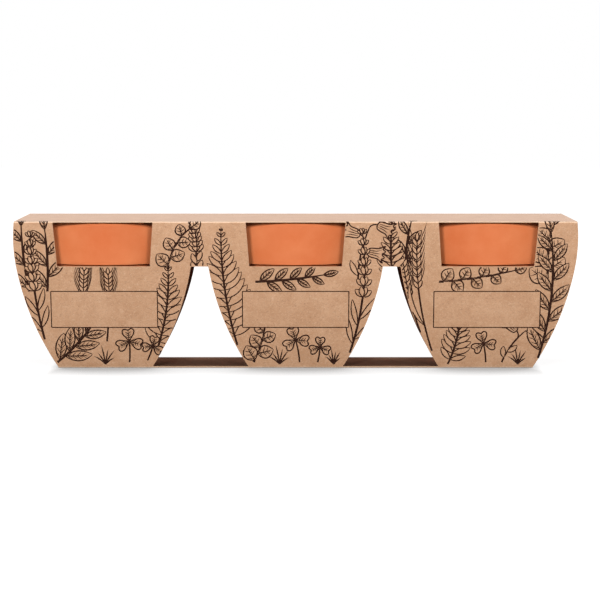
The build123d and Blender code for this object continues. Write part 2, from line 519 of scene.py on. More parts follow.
def inside(points, outline):
    """Which points lie inside a closed outline, by counting the edges that a level line crosses."""
    x, y = points[:, 0, None], points[:, 1, None]
    (ax, ay), (bx, by) = outline.T, np.roll(outline, -1, 0).T
    rise = np.where(by == ay, 1, by - ay)
    crossed = ((ay > y) != (by > y)) & (x < ax + (y - ay) * (bx - ax) / rise)
    return crossed.sum(1) % 2 == 1


def cover(outline):
    """Keeps later strokes out of an outline, which is held with its box."""
    covers.append((outline, *outline.min(0).tolist(), *outline.max(0).tolist()))


def fresh_paper(wrap):
    """A sheet that ends so far past the top fold: no strokes yet, and only windows and gaps kept free."""
    right_edge = on_paper(end_outline(INK_MARGIN))
    right_edge = np.vstack([right_edge, right_edge[-1] + (0, wrap)])
    strokes.clear()
    covers.clear()
    for x in pot_x.values():
        cover(on_paper(window_outline(x, INK_MARGIN)))
    for x in gap_x:
        cover(on_paper(gap_outline(x, INK_MARGIN)))
    return np.vstack([right_edge, right_edge[::-1] * (-1, 1)])


paper = fresh_paper(INK_WRAP)
print("the front sheet measures", np.ptp(paper, axis=0).round(1), "mm, with", len(covers), "places kept free")

# %% Pen
PEN_STEP, KEEP_EVERY = 0.2, 4
PEN_WEIGHT = 1.4
SWELL, THIN = 0.25, 0.35  # the shares of a stroke's length over which it grows and thins


def bare(points):
    """Which points lie on bare card: on the panel, clear of its cut-outs and of what is in front."""
    free = inside(points, paper)
    left, low = points.min(0).tolist()
    right, high = points.max(0).tolist()
    for outline, x0, y0, x1, y1 in covers:
        if left < x1 and right > x0 and low < y1 and high > y0:
            free &= ~inside(points, outline)
    return free


def ink(points, width, start=0.4, end=0.2):
    """One pen stroke: start and end are the shares of its width there, and it stops with the bare card."""
    points = np.asarray(points, float)
    reach = np.concatenate([[0], np.cumsum(np.linalg.norm(np.diff(points, axis=0), axis=1))])
    count = max(4, int(reach[-1] / PEN_STEP) + 2)
    at = np.linspace(0, reach[-1], count)
    path = np.stack([np.interp(at, reach, points[:, i]) for i in (0, 1)], 1)
    share = at / reach[-1]
    press = np.minimum(start + (1 - start) * share / SWELL, end + (1 - end) * (1 - share) / THIN).clip(0, 1)
    shown = bare(path)
    for part in np.split(np.arange(count), np.flatnonzero(np.diff(shown.astype(int))) + 1):
        if shown[part[0]] and len(part) > 2:
            kept = np.unique(np.append(part[::KEEP_EVERY], part[-1]))
            strokes.append((path[kept], press[kept] * width * PEN_WEIGHT / 2))


print("pen strokes are drawn with a point about every", round(PEN_STEP * KEEP_EVERY, 1), "mm")

# %% [markdown]
# ## Plants for the print
#
# Every plant could be drawn by hand, point by point, but plants repeat themselves. All of these grow from
# two small tools: a line that bends steadily, which serves as stem or rib, and a leaf, which is two
# swelling sides about such a rib with veins between. A fern, a lavender stalk, a bay sprig or an ear of
# grain is then only a rule for where its leaves sit and how they shrink to the tip. The nearest leaves
# are drawn first, because what is drawn first lies in front.

# %% Stems and leaves
def stem_line(root, heading, length, curl, count=24):
    """Points and headings, in radians, of a line that leaves root and bends steadily by curl degrees."""
    turn = np.radians(heading + curl * np.linspace(0, 1, count))
    steps = np.stack([np.cos(turn), np.sin(turn)], 1) * length / (count - 1)
    return np.vstack([[root], root + np.cumsum(steps[:-1], 0)]), turn


def at_share(line, share):
    """The number of the point that lies at this share of a line."""
    return int((len(line) - 1) * share)


def leaf(root, heading, length, width, curl=0.0, veins=4, pen=0.5, blunt=1.0):
    """A leaf with a rib, side veins and a little shading along one half."""
    rib, turn = stem_line(root, heading, length, curl)
    share = np.linspace(0, 1, len(rib))
    half = width / 2 * np.sin(pi * share**blunt) ** 0.8
    side = np.stack([-np.sin(turn), np.cos(turn)], 1)
    edges = [rib + sign * side * half[:, None] for sign in (1, -1)]
    for edge in edges:
        ink(edge, pen, 0.7, 0.5)
    if veins:
        ink(rib[:-2], pen * 0.8, 1.0, 0.2)
    for k in range(veins):
        at = int(len(rib) * (0.12 + 0.66 * k / veins))
        to = min(at + 4, len(rib) - 2)
        for sign in (1, -1):
            tip = rib[to] + sign * side[to] * half[to] * 0.8
            ink([rib[at], tip], pen * 0.6, 1.0, 0.1)
        ink([rib[at + 2], rib[to + 1] - side[to + 1] * half[to + 1] * 0.45], pen * 0.5, 1.0, 0.1)
    cover(np.vstack([edges[0], edges[1][::-1]]))


quarter_turn = stem_line((0, 0), 0, 20, 90)[0]
print("a stem of 20 mm that turns from level to upright ends at", quarter_turn[-1].round(1))


# %% Ferns and lavender
def fern(root, heading, length, curl, pairs=13):
    """A fern frond: pairs of plain leaflets that shorten to the tip."""
    line, turn = stem_line(root, heading, length, curl, 60)
    for k in range(pairs - 1, -1, -1):
        rise = k / (pairs - 1)
        at = at_share(line, 0.1 + 0.88 * rise)
        size = length * 0.3 * (1.04 - rise) ** 0.8 * min(1, 0.75 + 0.2 * k)
        for sign in (1, -1):
            leaf_heading = np.degrees(turn[at]) + sign * (64 - 20 * rise)
            leaf(line[at], leaf_heading, size, size * 0.3 + 0.3, -sign * 14, 0, 0.42)
    ink(line, 0.75, 1.0, 0.3)


def lavender(root, heading, length, curl, whorls=7, size=5.4):
    """A lavender stalk: whorls of small dark buds over a bare stem with a few narrow leaves."""
    line, turn = stem_line(root, heading, length, curl, 80)
    for k in range(whorls - 1, -1, -1):
        rise = k / (whorls - 1)
        at = at_share(line, 0.48 + 0.5 * rise)
        bud = size * (1 - 0.42 * rise)
        for spread in (15, -15, 50, -50):
            bud_heading = np.degrees(turn[at]) + spread
            leaf(line[at], bud_heading, bud, bud * 0.5, 0, 0, 0.45)
            for shade in (-9, 9):
                ink(stem_line(line[at], bud_heading + shade, bud * 0.7, 0, 5)[0], 0.4, 1.0, 0.4)
    for share, spread in ((0.08, 34), (0.12, -36), (0.24, 30), (0.29, -32)):
        at = at_share(line, share)
        leaf_heading = np.degrees(turn[at]) + spread
        leaf(line[at], leaf_heading, length * 0.22, 2.6, -spread * 0.5, 0, 0.45)
        ink(stem_line(line[at], leaf_heading, length * 0.18, -spread * 0.45, 10)[0], 0.3, 1.0, 0.2)
    ink(line, 0.8, 1.0, 0.4)


print("fronds and stalks:", fern.__name__, lavender.__name__)


# %% Ears of grain
def grain_ear(root, heading, length, curl, grains=7):
    """An ear of grain on its straw, with long awns."""
    line, turn = stem_line(root, heading, length, curl, 60)
    for k in range(grains - 1, -1, -1):
        at = at_share(line, 0.58 + 0.38 * k / (grains - 1))
        for sign in (1, -1):
            grain_heading = np.degrees(turn[at]) + sign * 24
            leaf(line[at], grain_heading, 4.6, 1.9, sign * 6, 0, 0.44)
            ink(stem_line(line[at], grain_heading, 3.4, 0, 5)[0], 0.36, 1.0, 0.3)
            tip = stem_line(line[at], grain_heading, 4.4, 0, 4)[0][-1]
            ink(stem_line(tip, grain_heading, 9.0, -sign * 14, 10)[0], 0.3, 1.0, 0.1)
    leaf(line[-1], np.degrees(turn[-1]), 4.4, 1.8, 0, 0, 0.44)
    leaf(line[14], np.degrees(turn[14]) + 30, length * 0.42, 2.2, -50, 0, 0.42)
    ink(line, 0.65, 1.0, 0.6)


print("ears:", grain_ear.__name__)


# %% Leafy sprigs
def sprig(root, heading, length, curl, leaves, size, plump, spread, veins, blunt):
    """A twig with leaves on alternate sides and one at its tip."""
    line, turn = stem_line(root, heading, length, curl, 60)
    leaf(line[-1], np.degrees(turn[-1]), size * 0.8, size * 0.8 * plump, 6, veins, 0.5, blunt)
    for k in range(leaves, 0, -1):
        at = at_share(line, 0.07 + 0.88 * (k - 1) / leaves)
        sign = 1 if k % 2 else -1
        reach = size * (1.06 - 0.3 * k / leaves)
        leaf_heading = np.degrees(turn[at]) + sign * spread
        leaf(line[at], leaf_heading, reach, reach * plump, -sign * 12, veins, 0.5, blunt)
    ink(line, 0.85, 1.0, 0.5)


def bay_sprig(root, heading, length, curl, leaves=9, size=12.0):
    """A woody sprig of pointed leaves."""
    sprig(root, heading, length, curl, leaves, size, 0.38, 46, 4, 1.0)


def coin_sprig(root, heading, length, curl, leaves=7, size=8.0):
    """A sprig of round leaves."""
    sprig(root, heading, length, curl, leaves, size, 0.84, 60, 3, 0.92)


print("sprigs:", bay_sprig.__name__, coin_sprig.__name__)


# %% Shapes of clover and bell flowers
def curve_through(points, each=7):
    """A smooth line through a few points."""
    points = np.array(points, float)
    held = np.vstack([2 * points[0] - points[1], points, 2 * points[-1] - points[-2]])
    t = np.linspace(0, 1, each, endpoint=False)[:, None]
    spans = [b + (c - a) / 2 * t + (2 * a - 5 * b + 4 * c - d) / 2 * t**2 + (3 * b - a - 3 * c + d) / 2 * t**3
             for a, b, c, d in zip(held, held[1:], held[2:], held[3:])]
    return np.vstack([*spans, points[-1:]])


def turned(shape, root, heading, size):
    """A small shape, drawn along +x at size 1, set at root with a heading in degrees."""
    c, s = cos(radians(heading)), sin(radians(heading))
    return np.asarray(root) + np.asarray(shape) * size @ np.array([[c, s], [-s, c]])


def both_sides(half):
    """A closed outline from one side of it."""
    return np.vstack([half, half[::-1] * (1, -1)])


heart_side = curve_through([(0, 0), (0.3, 0.2), (0.62, 0.42), (0.9, 0.43), (1.02, 0.25), (0.88, 0)])
bell_side = curve_through([(0, 0), (0.08, 0.22), (0.35, 0.3), (0.7, 0.34), (0.92, 0.5), (1.08, 0.56)])
bell_hem = curve_through([(1.08, 0.56), (0.94, 0.4), (0.95, 0.3), (1.12, 0.19), (0.95, 0.06), (0.94, 0)])
print("half a clover leaflet has", len(heart_side), "points, half a bell", len(bell_side) + len(bell_hem) - 1)


# %% Clover, bell flowers and grass
def clover(root, heading, length, size=6.0, curl=12):
    """A clover leaf: three notched leaflets on a thin stalk."""
    line, turn = stem_line(root, heading, length, curl)
    for spread in (0, 112, -112):
        place = (line[-1], np.degrees(turn[-1]) + spread, size)
        heart = turned(both_sides(heart_side), *place)
        ink(heart, 0.5, 0.9, 0.9)
        ink(turned([(0.05, 0), (0.85, 0)], *place), 0.36, 1.0, 0.3)
        for at in (0.25, 0.42, 0.6):
            for sign in (1, -1):
                ink(turned([(at, 0), (at + 0.2, sign * 0.24)], *place), 0.28, 1.0, 0.1)
        cover(heart)
    ink(line, 0.6, 1.0, 0.8)


def bellflowers(root, heading, length, curl, bells=3, size=8.0):
    """An arching stalk hung with bell flowers."""
    line, turn = stem_line(root, heading, length, curl, 60)
    for k in range(bells):
        at = at_share(line, 1 - 0.25 * k)
        sign = 1 if k % 2 else -1
        stalk, stalk_turn = stem_line(line[at], np.degrees(turn[at]) + sign * 20, 4.0, sign * 70, 10)
        place = (stalk[-1], np.degrees(stalk_turn[-1]), size)
        bell = turned(both_sides(np.vstack([bell_side, bell_hem[1:]])), *place)
        ink(bell, 0.5, 0.9, 0.9)
        for across in (0.0, 0.14, -0.14):
            fold_line = [(0.12, across * 0.8), (0.55, across), (0.85, across * 1.8)]
            ink(turned(fold_line, *place), 0.32, 0.6, 0.1)
        cover(bell)
        ink(stalk, 0.5, 1.0, 0.9)
    for share, spread in ((0.15, 38), (0.32, -38)):
        at = at_share(line, share)
        leaf(line[at], np.degrees(turn[at]) + spread, length * 0.3, 2.6, -spread * 0.6, 0, 0.44)
    ink(line, 0.65, 1.0, 0.6)


def grass(root, spread, length, blades=6):
    """A tuft of grass: blades fan out by spread degrees to each side, and the outer ones are shorter."""
    for k in range(blades):
        outward = 2 * k / (blades - 1) - 1
        reach = length * (1 - 0.35 * abs(outward)) * (0.8 if k % 2 else 1)
        ink(stem_line(root, 90 - spread * outward, reach, -spread * outward * 0.6, 10)[0], 0.5, 1.0, 0.1)


print("small plants:", clover.__name__, bellflowers.__name__, grass.__name__)

# %% [markdown]
# ## Laying out the print
#
# Tall plants stand beside the labels and reach up between the windows, small ones grow along the foot,
# and some card stays bare. The plants could be scattered by chance, but then leaves would crowd each
# other and the windows, so each one is placed one by one. An entry gives the plant, where its root is from
# the pot's axis and from the foot of the card, the way it grows, its length and how it bends, and then
# how many leaves it has and their size. The back carries the same plants in another order, without
# labels.

# %% Three beds of plants
meadow = [
    [
        (bay_sprig, (-24, 3), 40, 28, 16, 7, 14),
        (lavender, (-30, 15), 103, 55, -14),
        (clover, (12, 3), 84, 11, 6.5),
        (clover, (21, 4), 64, 8, 5.2),
        (fern, (26, 10), 72, 46, 22, 12),
        (grain_ear, (-9, 16), 98, 34, -14),
        (grain_ear, (1, 14), 84, 34, 8),
        (grass, (0, 2), 42, 11),
        (coin_sprig, (32, 52), 84, 24, -46, 5),
        (bay_sprig, (-28, 40), 86, 32, 10, 5, 13),
        (bay_sprig, (-37, 40), 100, 34, -10, 5, 13),
        (lavender, (46, 48), 88, 27, 10, 7, 5.0),
    ],
    [
        (coin_sprig, (-21, 3), 64, 22, 20, 5, 8.5),
        (fern, (-29, 12), 106, 62, -18, 15),
        (lavender, (27, 8), 72, 64, 26),
        (bay_sprig, (-20, 45), 2, 34, 8, 8, 9.5),
        (clover, (2, 3), 94, 12, 6.5),
        (clover, (11, 3), 76, 8, 5.2),
        (grass, (-8, 2), 42, 11),
        (grass, (19, 2), 36, 9),
        (bellflowers, (31, 44), 92, 30, -26),
        (fern, (48, 46), 96, 32, -10, 10),
    ],
    [
        (fern, (-19, 2), 66, 34, 30, 11),
        (bay_sprig, (26, 5), 74, 66, 24, 11, 14),
        (grain_ear, (-27, 9), 108, 58, -20),
        (grain_ear, (-31, 14), 112, 42, -14),
        (coin_sprig, (-24, 45), 4, 38, 10, 7, 7.5),
        (bellflowers, (8, 3), 70, 20, -30, 2, 7),
        (clover, (0, 3), 92, 10, 6.0),
        (grass, (16, 2), 40, 10),
        (bay_sprig, (-40, 48), 96, 28, -20, 5, 12),
        (coin_sprig, (30, 44), 94, 30, -12, 5, 11),
    ],
]
print("the meadow has", sum(len(bed) for bed in meadow), "plants in", len(meadow), "beds")

# %% Label frames and planting
label_half, label_low, label_high = 26.4, 20.8, 39.1
LABEL_LINE = 0.36


def label_frame(x):
    """A thin framed label that later strokes stay out of."""
    corners = on_paper([(x - label_half, label_low), (x + label_half, label_low),
                        (x + label_half, label_high), (x - label_half, label_high)])
    for here, after in zip(corners, np.roll(corners, -1, 0)):
        ink([here, after], LABEL_LINE, 1.0, 1.0)
    cover(corners)


def draw_plants(beds):
    """Draws one list of plants about each pot, in the order of the row."""
    for x, plants in zip(pot_x.values(), beds):
        for draw, (across, up), *growth in plants:
            draw((x + across, up), *growth)


print("a label frame is", 2 * label_half, "by", round((label_high - label_low) / cos(lean), 1), "mm")

# %% [markdown]
# ## Ink on the card
#
# Printing ink lies on card as a film far thinner than the card. It could be painted into the card's
# material, but then every stroke would need a place in its nodes. Here the strokes become a curve with a
# radius at every point, which is pressed flat to a film and folded with the same function as the card.
# So the tips of the tallest plants bend over the top fold at the front, as on a real wrap, while the back
# print stops at its fold. The ink is dark and dull, and soaks in unevenly, which leaves it lighter in
# places.

# %% Printing ink
INK_SOAK = 0.7
ink_material, tree, shader, place = new_material("brown_printing_ink")
soak = add_node(tree, "ShaderNodeTexNoise", {"Scale": per_mm(INK_SOAK), "Detail": 3, "Roughness": 0.7},
                {"Vector": place})
soaked = add_node(tree, "ShaderNodeMapRange", {"From Min": 0.35, "From Max": 0.75},
                  {"Value": soak.outputs["Fac"]})
ink_tone = add_node(tree, "ShaderNodeMix", {FIRST: linear("#27120B"), SECOND: linear("#45281B")},
                    {SHARE: soaked.outputs["Result"]}, data_type="RGBA")
tree.links.new(ink_tone.outputs[MIXED], shader.inputs["Base Color"])
shader.inputs["Roughness"].default_value = 0.7
shader.inputs["Specular IOR Level"].default_value = 0.1
print("ink:", ink_material.name)

# %% Print the front and the back
INK_FILM = 0.05  # a stroke's thickness, as a share of its width


def print_piece(name, first_row, way, fold):
    """The strokes on the paper as a film of ink, laid on the blank from its first row and folded."""
    pen_lines = bpy.data.curves.new(name, "CURVE")
    pen_lines.dimensions = "3D"
    pen_lines.twist_mode = "Z_UP"
    pen_lines.bevel_depth = 1.0
    pen_lines.bevel_resolution = 0
    pen_lines.use_fill_caps = True
    for path, radius in strokes:
        add_line(pen_lines, path * way + (0, first_row), radius)
    mesh = curve_mesh(pen_lines)
    film = bmesh.new()
    film.from_mesh(mesh)
    for vert in film.verts:
        vert.co.z = card / 2 - INK_RISE + vert.co.z * INK_FILM
    fold_mesh(film, [row for row in fold_rows if fold.distance <= row <= fold.distance + fold.length])
    film.to_mesh(mesh)
    film.free()
    mesh.materials.clear()
    mesh.materials.append(ink_material)
    print(len(strokes), "strokes")
    link_piece(name, mesh, "sleeve", "kraft_card")


paper = fresh_paper(INK_WRAP)
for x in pot_x.values():
    label_frame(x)
draw_plants(meadow)
print_piece("print_front", front_along(0), 1, TOP_FOLD)
paper = fresh_paper(-INK_MARGIN)
draw_plants(meadow[::-1])
print_piece("print_back", back_along(0), -1, BACK_FOLD)

# %% [markdown]
# ## Terracotta
#
# The pots are unglazed red clay, pressed in a spinning mould and fired. Grog, which is ground fired clay,
# speckles it, its colour drifts a little from patch to patch, and the spinning leaves faint rings round
# it. One flat orange would look like plastic, so three noises on object coordinates give these sizes. The
# rings are one of them, flattened so far that it runs round the pots as bands. The clay has no gloss, and
# light leaves its pores in every direction, so a round collar looks almost evenly bright from side to
# side. The shader's usual diffuse light falls off too fast for that, so its diffuse roughness is set full.

# %% Terracotta material
CLAY_DRIFT, GROG, RING_PITCH, GROG_DEPTH = 18.0, 0.6, 1.6, 0.08
RING_STRETCH = 0.06


def terracotta_material():
    """Unglazed fired clay: mottled orange, fine grog, faint rings, fully matt."""
    material, tree, shader, place = new_material("terracotta_unglazed")
    drift = add_node(tree, "ShaderNodeTexNoise", {"Scale": per_mm(CLAY_DRIFT), "Detail": 4},
                     {"Vector": place})
    grog = add_node(tree, "ShaderNodeTexNoise", {"Scale": per_mm(GROG), "Detail": 4, "Roughness": 0.7},
                    {"Vector": place})
    flattened = add_node(tree, "ShaderNodeMapping", {"Scale": (RING_STRETCH, RING_STRETCH, 1)},
                         {"Vector": place})
    rings = add_node(tree, "ShaderNodeTexNoise", {"Scale": per_mm(RING_PITCH), "Detail": 3},
                     {"Vector": flattened.outputs["Vector"]})
    drifted = add_node(tree, "ShaderNodeMapRange", {"From Min": 0.3, "From Max": 0.7},
                       {"Value": drift.outputs["Fac"]})
    clay = add_node(tree, "ShaderNodeMix", {FIRST: linear("#DE7C48"), SECOND: linear("#E78F5B")},
                    {SHARE: drifted.outputs["Result"]}, data_type="RGBA")
    speck = add_node(tree, "ShaderNodeMapRange", {"From Min": 0.58, "From Max": 0.8, "To Max": 0.35},
                     {"Value": grog.outputs["Fac"]})
    speckled = add_node(tree, "ShaderNodeMix", {SECOND: linear("#F0A878")},
                        {SHARE: speck.outputs["Result"], FIRST: clay.outputs[MIXED]}, data_type="RGBA")
    tree.links.new(speckled.outputs[MIXED], shader.inputs["Base Color"])
    height = add_node(tree, "ShaderNodeMath", {1: 0.6}, {0: rings.outputs["Fac"], 2: grog.outputs["Fac"]},
                      operation="MULTIPLY_ADD")
    bump = add_node(tree, "ShaderNodeBump", {"Strength": 0.3, "Distance": GROG_DEPTH * MM},
                    {"Height": height.outputs["Value"]})
    tree.links.new(bump.outputs["Normal"], shader.inputs["Normal"])
    shader.inputs["Roughness"].default_value = 0.85
    shader.inputs["Diffuse Roughness"].default_value = 1.0
    shader.inputs["Specular IOR Level"].default_value = 0.3
    return material


terracotta = terracotta_material()
print("clay:", terracotta.name)

# %% [markdown]
# ## Turned pots
#
# Each pot is a plain flowerpot with a deep collar. It could be a cylinder, tapered and cut hollow, but it
# is a turned shape, so half its section is drawn as a line of points and spun about its axis. Each point
# holds its radius, its height above the foot and a rounding. The rounding is a bevel of the ring that
# the point makes, because wet clay has no sharp edges: the rim is soft, and only the lower edge of the
# collar, where the mould parts, stays crisp.

# %% Section of a pot
collar_step, pot_wall, pot_floor, drain_radius = 2.6, 4.2, 5.0, 4.5
foot_z = card + seat_gap
collar_foot_radius = rim_radius - collar_height * tan(lean)
body_top = pot_height - collar_height
body_slope = (collar_foot_radius - collar_step - foot_radius) / body_top


def inside_radius(height):
    """Inside of a pot's wall at a height above its foot."""
    return foot_radius + body_slope * height - pot_wall


pot_section = [
    (drain_radius, 0, 0.5),
    (foot_radius, 0, 1.2),
    (foot_radius + body_slope * body_top, body_top, 0.6),
    (collar_foot_radius, body_top, 0.35),
    (rim_radius, pot_height, 3.0),
    (inside_radius(pot_height), pot_height, 1.8),
    (inside_radius(pot_floor), pot_floor, 3.0),
    (drain_radius, pot_floor, 0.8),
]
print("a pot's wall is", round(rim_radius - inside_radius(pot_height), 1), "mm thick at the rim")

# %% Spin and round the pots
SPIN_STEPS, BEVEL_STEPS = 128, 5
ON_RING = 1e-3


def turned_pot(x):
    """A pot spun from its section about the axis at x, with every ring rounded by its own radius."""
    shape = bmesh.new()
    points = [shape.verts.new((x + r, 0, foot_z + h)) for r, h, rounding in pot_section]
    outline = [shape.edges.new((a, b)) for a, b in zip(points, points[1:] + points[:1])]
    bmesh.ops.spin(shape, geom=points + outline, cent=(x, 0, 0), axis=(0, 0, 1), angle=2 * pi,
                   steps=SPIN_STEPS, use_merge=True)
    bmesh.ops.recalc_face_normals(shape, faces=shape.faces)
    for radius, height, rounding in pot_section:
        ring = [edge for edge in shape.edges
                if all(abs(v.co.z - foot_z - height) < ON_RING
                       and abs((v.co - Vector((x, 0, v.co.z))).length - radius) < ON_RING
                       for v in edge.verts)]
        bmesh.ops.bevel(shape, geom=ring, offset=rounding, offset_type="OFFSET", segments=BEVEL_STEPS,
                        profile=0.5, affect="EDGES", material=-1)
    for face in shape.faces:
        face.smooth = True
    bmesh.ops.scale(shape, vec=(MM, MM, MM), verts=shape.verts)
    mesh = bpy.data.meshes.new("pot")
    shape.to_mesh(mesh)
    shape.free()
    mesh.materials.append(terracotta)
    return mesh


for name, x in pot_x.items():
    link_piece(f"pot_{name}", turned_pot(x), f"{name}_pot", "terracotta", f"terracotta_pot_{name}")

# %% [markdown]
# ## Coir
#
# Each pot holds a disc of compressed coir, the fibre of coconut husk, which swells to potting soil when
# it is watered. Its surface is dark dull crumbs of one to two millimetres, with paler stray fibres pressed
# into it. Thousands of single crumbs could be scattered over a disc, but it lies deep in its pot, so one
# noise carries them, both as colour and as height. The same function then serves for crumb and fibre,
# with other browns and another size.

# %% Coir material
CRUMB_BUMP = 0.3


def coir_material(name, dark, light, size):
    """Matt husk fibre, with lighter crumbs of about the given size."""
    material, tree, shader, place = new_material(name)
    crumb = add_node(tree, "ShaderNodeTexNoise", {"Scale": per_mm(size), "Detail": 5, "Roughness": 0.75},
                     {"Vector": place})
    lighter = add_node(tree, "ShaderNodeMapRange", {"From Min": 0.32, "From Max": 0.7},
                       {"Value": crumb.outputs["Fac"]})
    tone = add_node(tree, "ShaderNodeMix", {FIRST: linear(dark), SECOND: linear(light)},
                    {SHARE: lighter.outputs["Result"]}, data_type="RGBA")
    tree.links.new(tone.outputs[MIXED], shader.inputs["Base Color"])
    bump = add_node(tree, "ShaderNodeBump", {"Strength": 0.8, "Distance": CRUMB_BUMP * MM},
                    {"Height": crumb.outputs["Fac"]})
    tree.links.new(bump.outputs["Normal"], shader.inputs["Normal"])
    shader.inputs["Roughness"].default_value = 0.95
    shader.inputs["Specular IOR Level"].default_value = 0.15
    return material


coir_crumb = coir_material("coir_pressed", "#2E1D12", "#6B4A30", 1.4)
coir_fibre = coir_material("coir_fibre", "#7A5637", "#A37C52", 4.0)
print("coir finishes:", coir_crumb.name, coir_fibre.name)

# %% [markdown]
# ## Pressed discs
#
# The coir is pressed in a mould, so each disc is a plain round tablet with a bevelled top edge and a
# dimple for the seed. Bump alone would leave its outline smooth, so the tablet is spun from a finely
# stepped section, and every point is then pushed in a little by noise of two sizes. The fibres are short
# bent curves, laid on the top and round the side, and joined to the tablet's mesh. They are drawn from one
# seeded dice, so they fall the same way each time.

# %% Section of a disc
coir_gap, coir_height, coir_chamfer, dimple_radius, dimple_depth = 0.6, 14.0, 1.6, 3.5, 4.0
coir_z = foot_z + pot_floor
coir_radius = inside_radius(pot_floor) - coir_gap
CRUMB_STEP = 0.8


def stepped(points, step):
    """The same path with a point about every step."""
    path = [np.array(points[0], float)]
    for here, after in zip(points, points[1:]):
        count = max(1, round(float(np.hypot(*np.subtract(after, here))) / step))
        path += list(np.linspace(here, after, count + 1)[1:])
    return path


coir_section = stepped([
    (0, coir_height - dimple_depth),
    (dimple_radius, coir_height - dimple_depth),
    (dimple_radius, coir_height),
    (coir_radius - coir_chamfer, coir_height),
    (coir_radius, coir_height - coir_chamfer),
    (coir_radius, 0),
    (0, 0),
], CRUMB_STEP)
print("a disc is", round(2 * coir_radius, 1), "mm across, and its section has", len(coir_section), "points")

# %% Stray fibres
FIBRES, FIBRE_RADIUS, FIBRE_POINTS = 160, 0.09, 6
FIBRE_LENGTHS, FIBRE_BEND = (3, 8), 80
DIMPLE_EDGE = 0.3
dice = np.random.default_rng(5)


def stray_fibres():
    """Short bent fibres about a disc's own axis: every other one lies on the top, the rest round the side."""
    curve = bpy.data.curves.new("fibres", "CURVE")
    curve.dimensions = "3D"
    curve.bevel_depth = FIBRE_RADIUS
    curve.bevel_resolution = 0
    curve.use_fill_caps = True
    for k in range(FIBRES):
        bent = stem_line((0, 0), dice.uniform(0, 360), dice.uniform(*FIBRE_LENGTHS),
                         dice.uniform(-FIBRE_BEND, FIBRE_BEND), FIBRE_POINTS)[0]
        angle = dice.uniform(0, 2 * pi)
        if k % 2:
            flat_run = bent + dice.uniform(dimple_radius, coir_radius) * np.array([cos(angle), sin(angle)])
            reach = np.hypot(*flat_run.T)
            held = reach.clip(dimple_radius + DIMPLE_EDGE, coir_radius - coir_chamfer)
            flat_run *= (held / reach)[:, None]
            height = np.full(len(bent), coir_height - FIBRE_RADIUS)
        else:
            around = angle + bent[:, 0] / coir_radius
            flat_run = (coir_radius - 2 * FIBRE_RADIUS) * np.column_stack([np.cos(around), np.sin(around)])
            height = dice.uniform(0, coir_height) + bent[:, 1]
            height = height.clip(FIBRE_RADIUS, coir_height - coir_chamfer)
        add_line(curve, np.column_stack([flat_run, height]))
    return curve_mesh(curve)


print("each disc gets", FIBRES, "fibres of", FIBRE_LENGTHS, "mm")

# %% Discs with their fibres
CRUMB_DEPTH = 0.5
COARSE_CRUMBS, FINE_CRUMBS = 0.7, 1.9  # to a millimetre
FIBRE = 1  # a disc's second finish


def coir_disc(x):
    """One pressed tablet about the axis at x, crumbled by noise, with its fibres."""
    shape = bmesh.new()
    points = [shape.verts.new((r, 0, h)) for r, h in coir_section]
    outline = [shape.edges.new(pair) for pair in zip(points, points[1:])]
    bmesh.ops.spin(shape, geom=points + outline, cent=(0, 0, 0), axis=(0, 0, 1), angle=2 * pi,
                   steps=SPIN_STEPS, use_merge=True)
    bmesh.ops.remove_doubles(shape, verts=shape.verts, dist=1e-4)
    bmesh.ops.recalc_face_normals(shape, faces=shape.faces)
    shape.normal_update()
    for vert in shape.verts:
        seed = vert.co + Vector((x, 0, 0))
        crumb = 0.5 + 0.35 * noise.noise(seed * COARSE_CRUMBS) + 0.25 * noise.noise(seed * FINE_CRUMBS)
        vert.co -= vert.normal * CRUMB_DEPTH * min(max(crumb, 0), 1)
    tablet_faces = len(shape.faces)
    shape.from_mesh(stray_fibres())
    shape.faces.ensure_lookup_table()
    for face in shape.faces[tablet_faces:]:
        face.material_index = FIBRE
    bmesh.ops.translate(shape, vec=(x, 0, coir_z), verts=shape.verts)
    bmesh.ops.scale(shape, vec=(MM, MM, MM), verts=shape.verts)
    for face in shape.faces:
        face.smooth = True
    mesh = bpy.data.meshes.new("coir_disc")
    shape.to_mesh(mesh)
    shape.free()
    mesh.materials.append(coir_crumb)
    mesh.materials.append(coir_fibre)
    return mesh


for name, x in pot_x.items():
    link_piece(f"coir_{name}", coir_disc(x), f"{name}_pot", "coir", f"coir_disc_{name}")

# %% [markdown]
# ## Seed sachets
#
# On each disc lies a small plain paper sachet of seed. It is two sheets, sealed all round by a crimping
# bar, so its edge is flat with fine ribs, and the seed inside swells the middle softly and shows as faint
# lumps. A cloth simulation could blow it up, but paper hardly stretches and the swelling is slight, so a
# fine grid is raised to that shape by a rule, over a flat copy that is the sheet underneath. The paper
# is cream, unbleached and uncoated: matt, with a slight change of shade and a fine tooth, which is drawn
# at half a millimetre, coarser than it is, so that it shows.

# %% Sachet paper
PAPER_TOOTH, PAPER_SHADE, TOOTH_DEPTH = 0.5, 9.0, 0.05
sachet_paper, tree, shader, place = new_material("sachet_paper_cream")
shade = add_node(tree, "ShaderNodeTexNoise", {"Scale": per_mm(PAPER_SHADE), "Detail": 3}, {"Vector": place})
shaded = add_node(tree, "ShaderNodeMapRange", {"From Min": 0.3, "From Max": 0.7},
                  {"Value": shade.outputs["Fac"]})
paper_tone = add_node(tree, "ShaderNodeMix", {FIRST: linear("#DCCFB6"), SECOND: linear("#E8DDC8")},
                      {SHARE: shaded.outputs["Result"]}, data_type="RGBA")
tree.links.new(paper_tone.outputs[MIXED], shader.inputs["Base Color"])
tooth = add_node(tree, "ShaderNodeTexNoise", {"Scale": per_mm(PAPER_TOOTH), "Detail": 4, "Roughness": 0.7},
                 {"Vector": place})
bump = add_node(tree, "ShaderNodeBump", {"Strength": 0.3, "Distance": TOOTH_DEPTH * MM},
                {"Height": tooth.outputs["Fac"]})
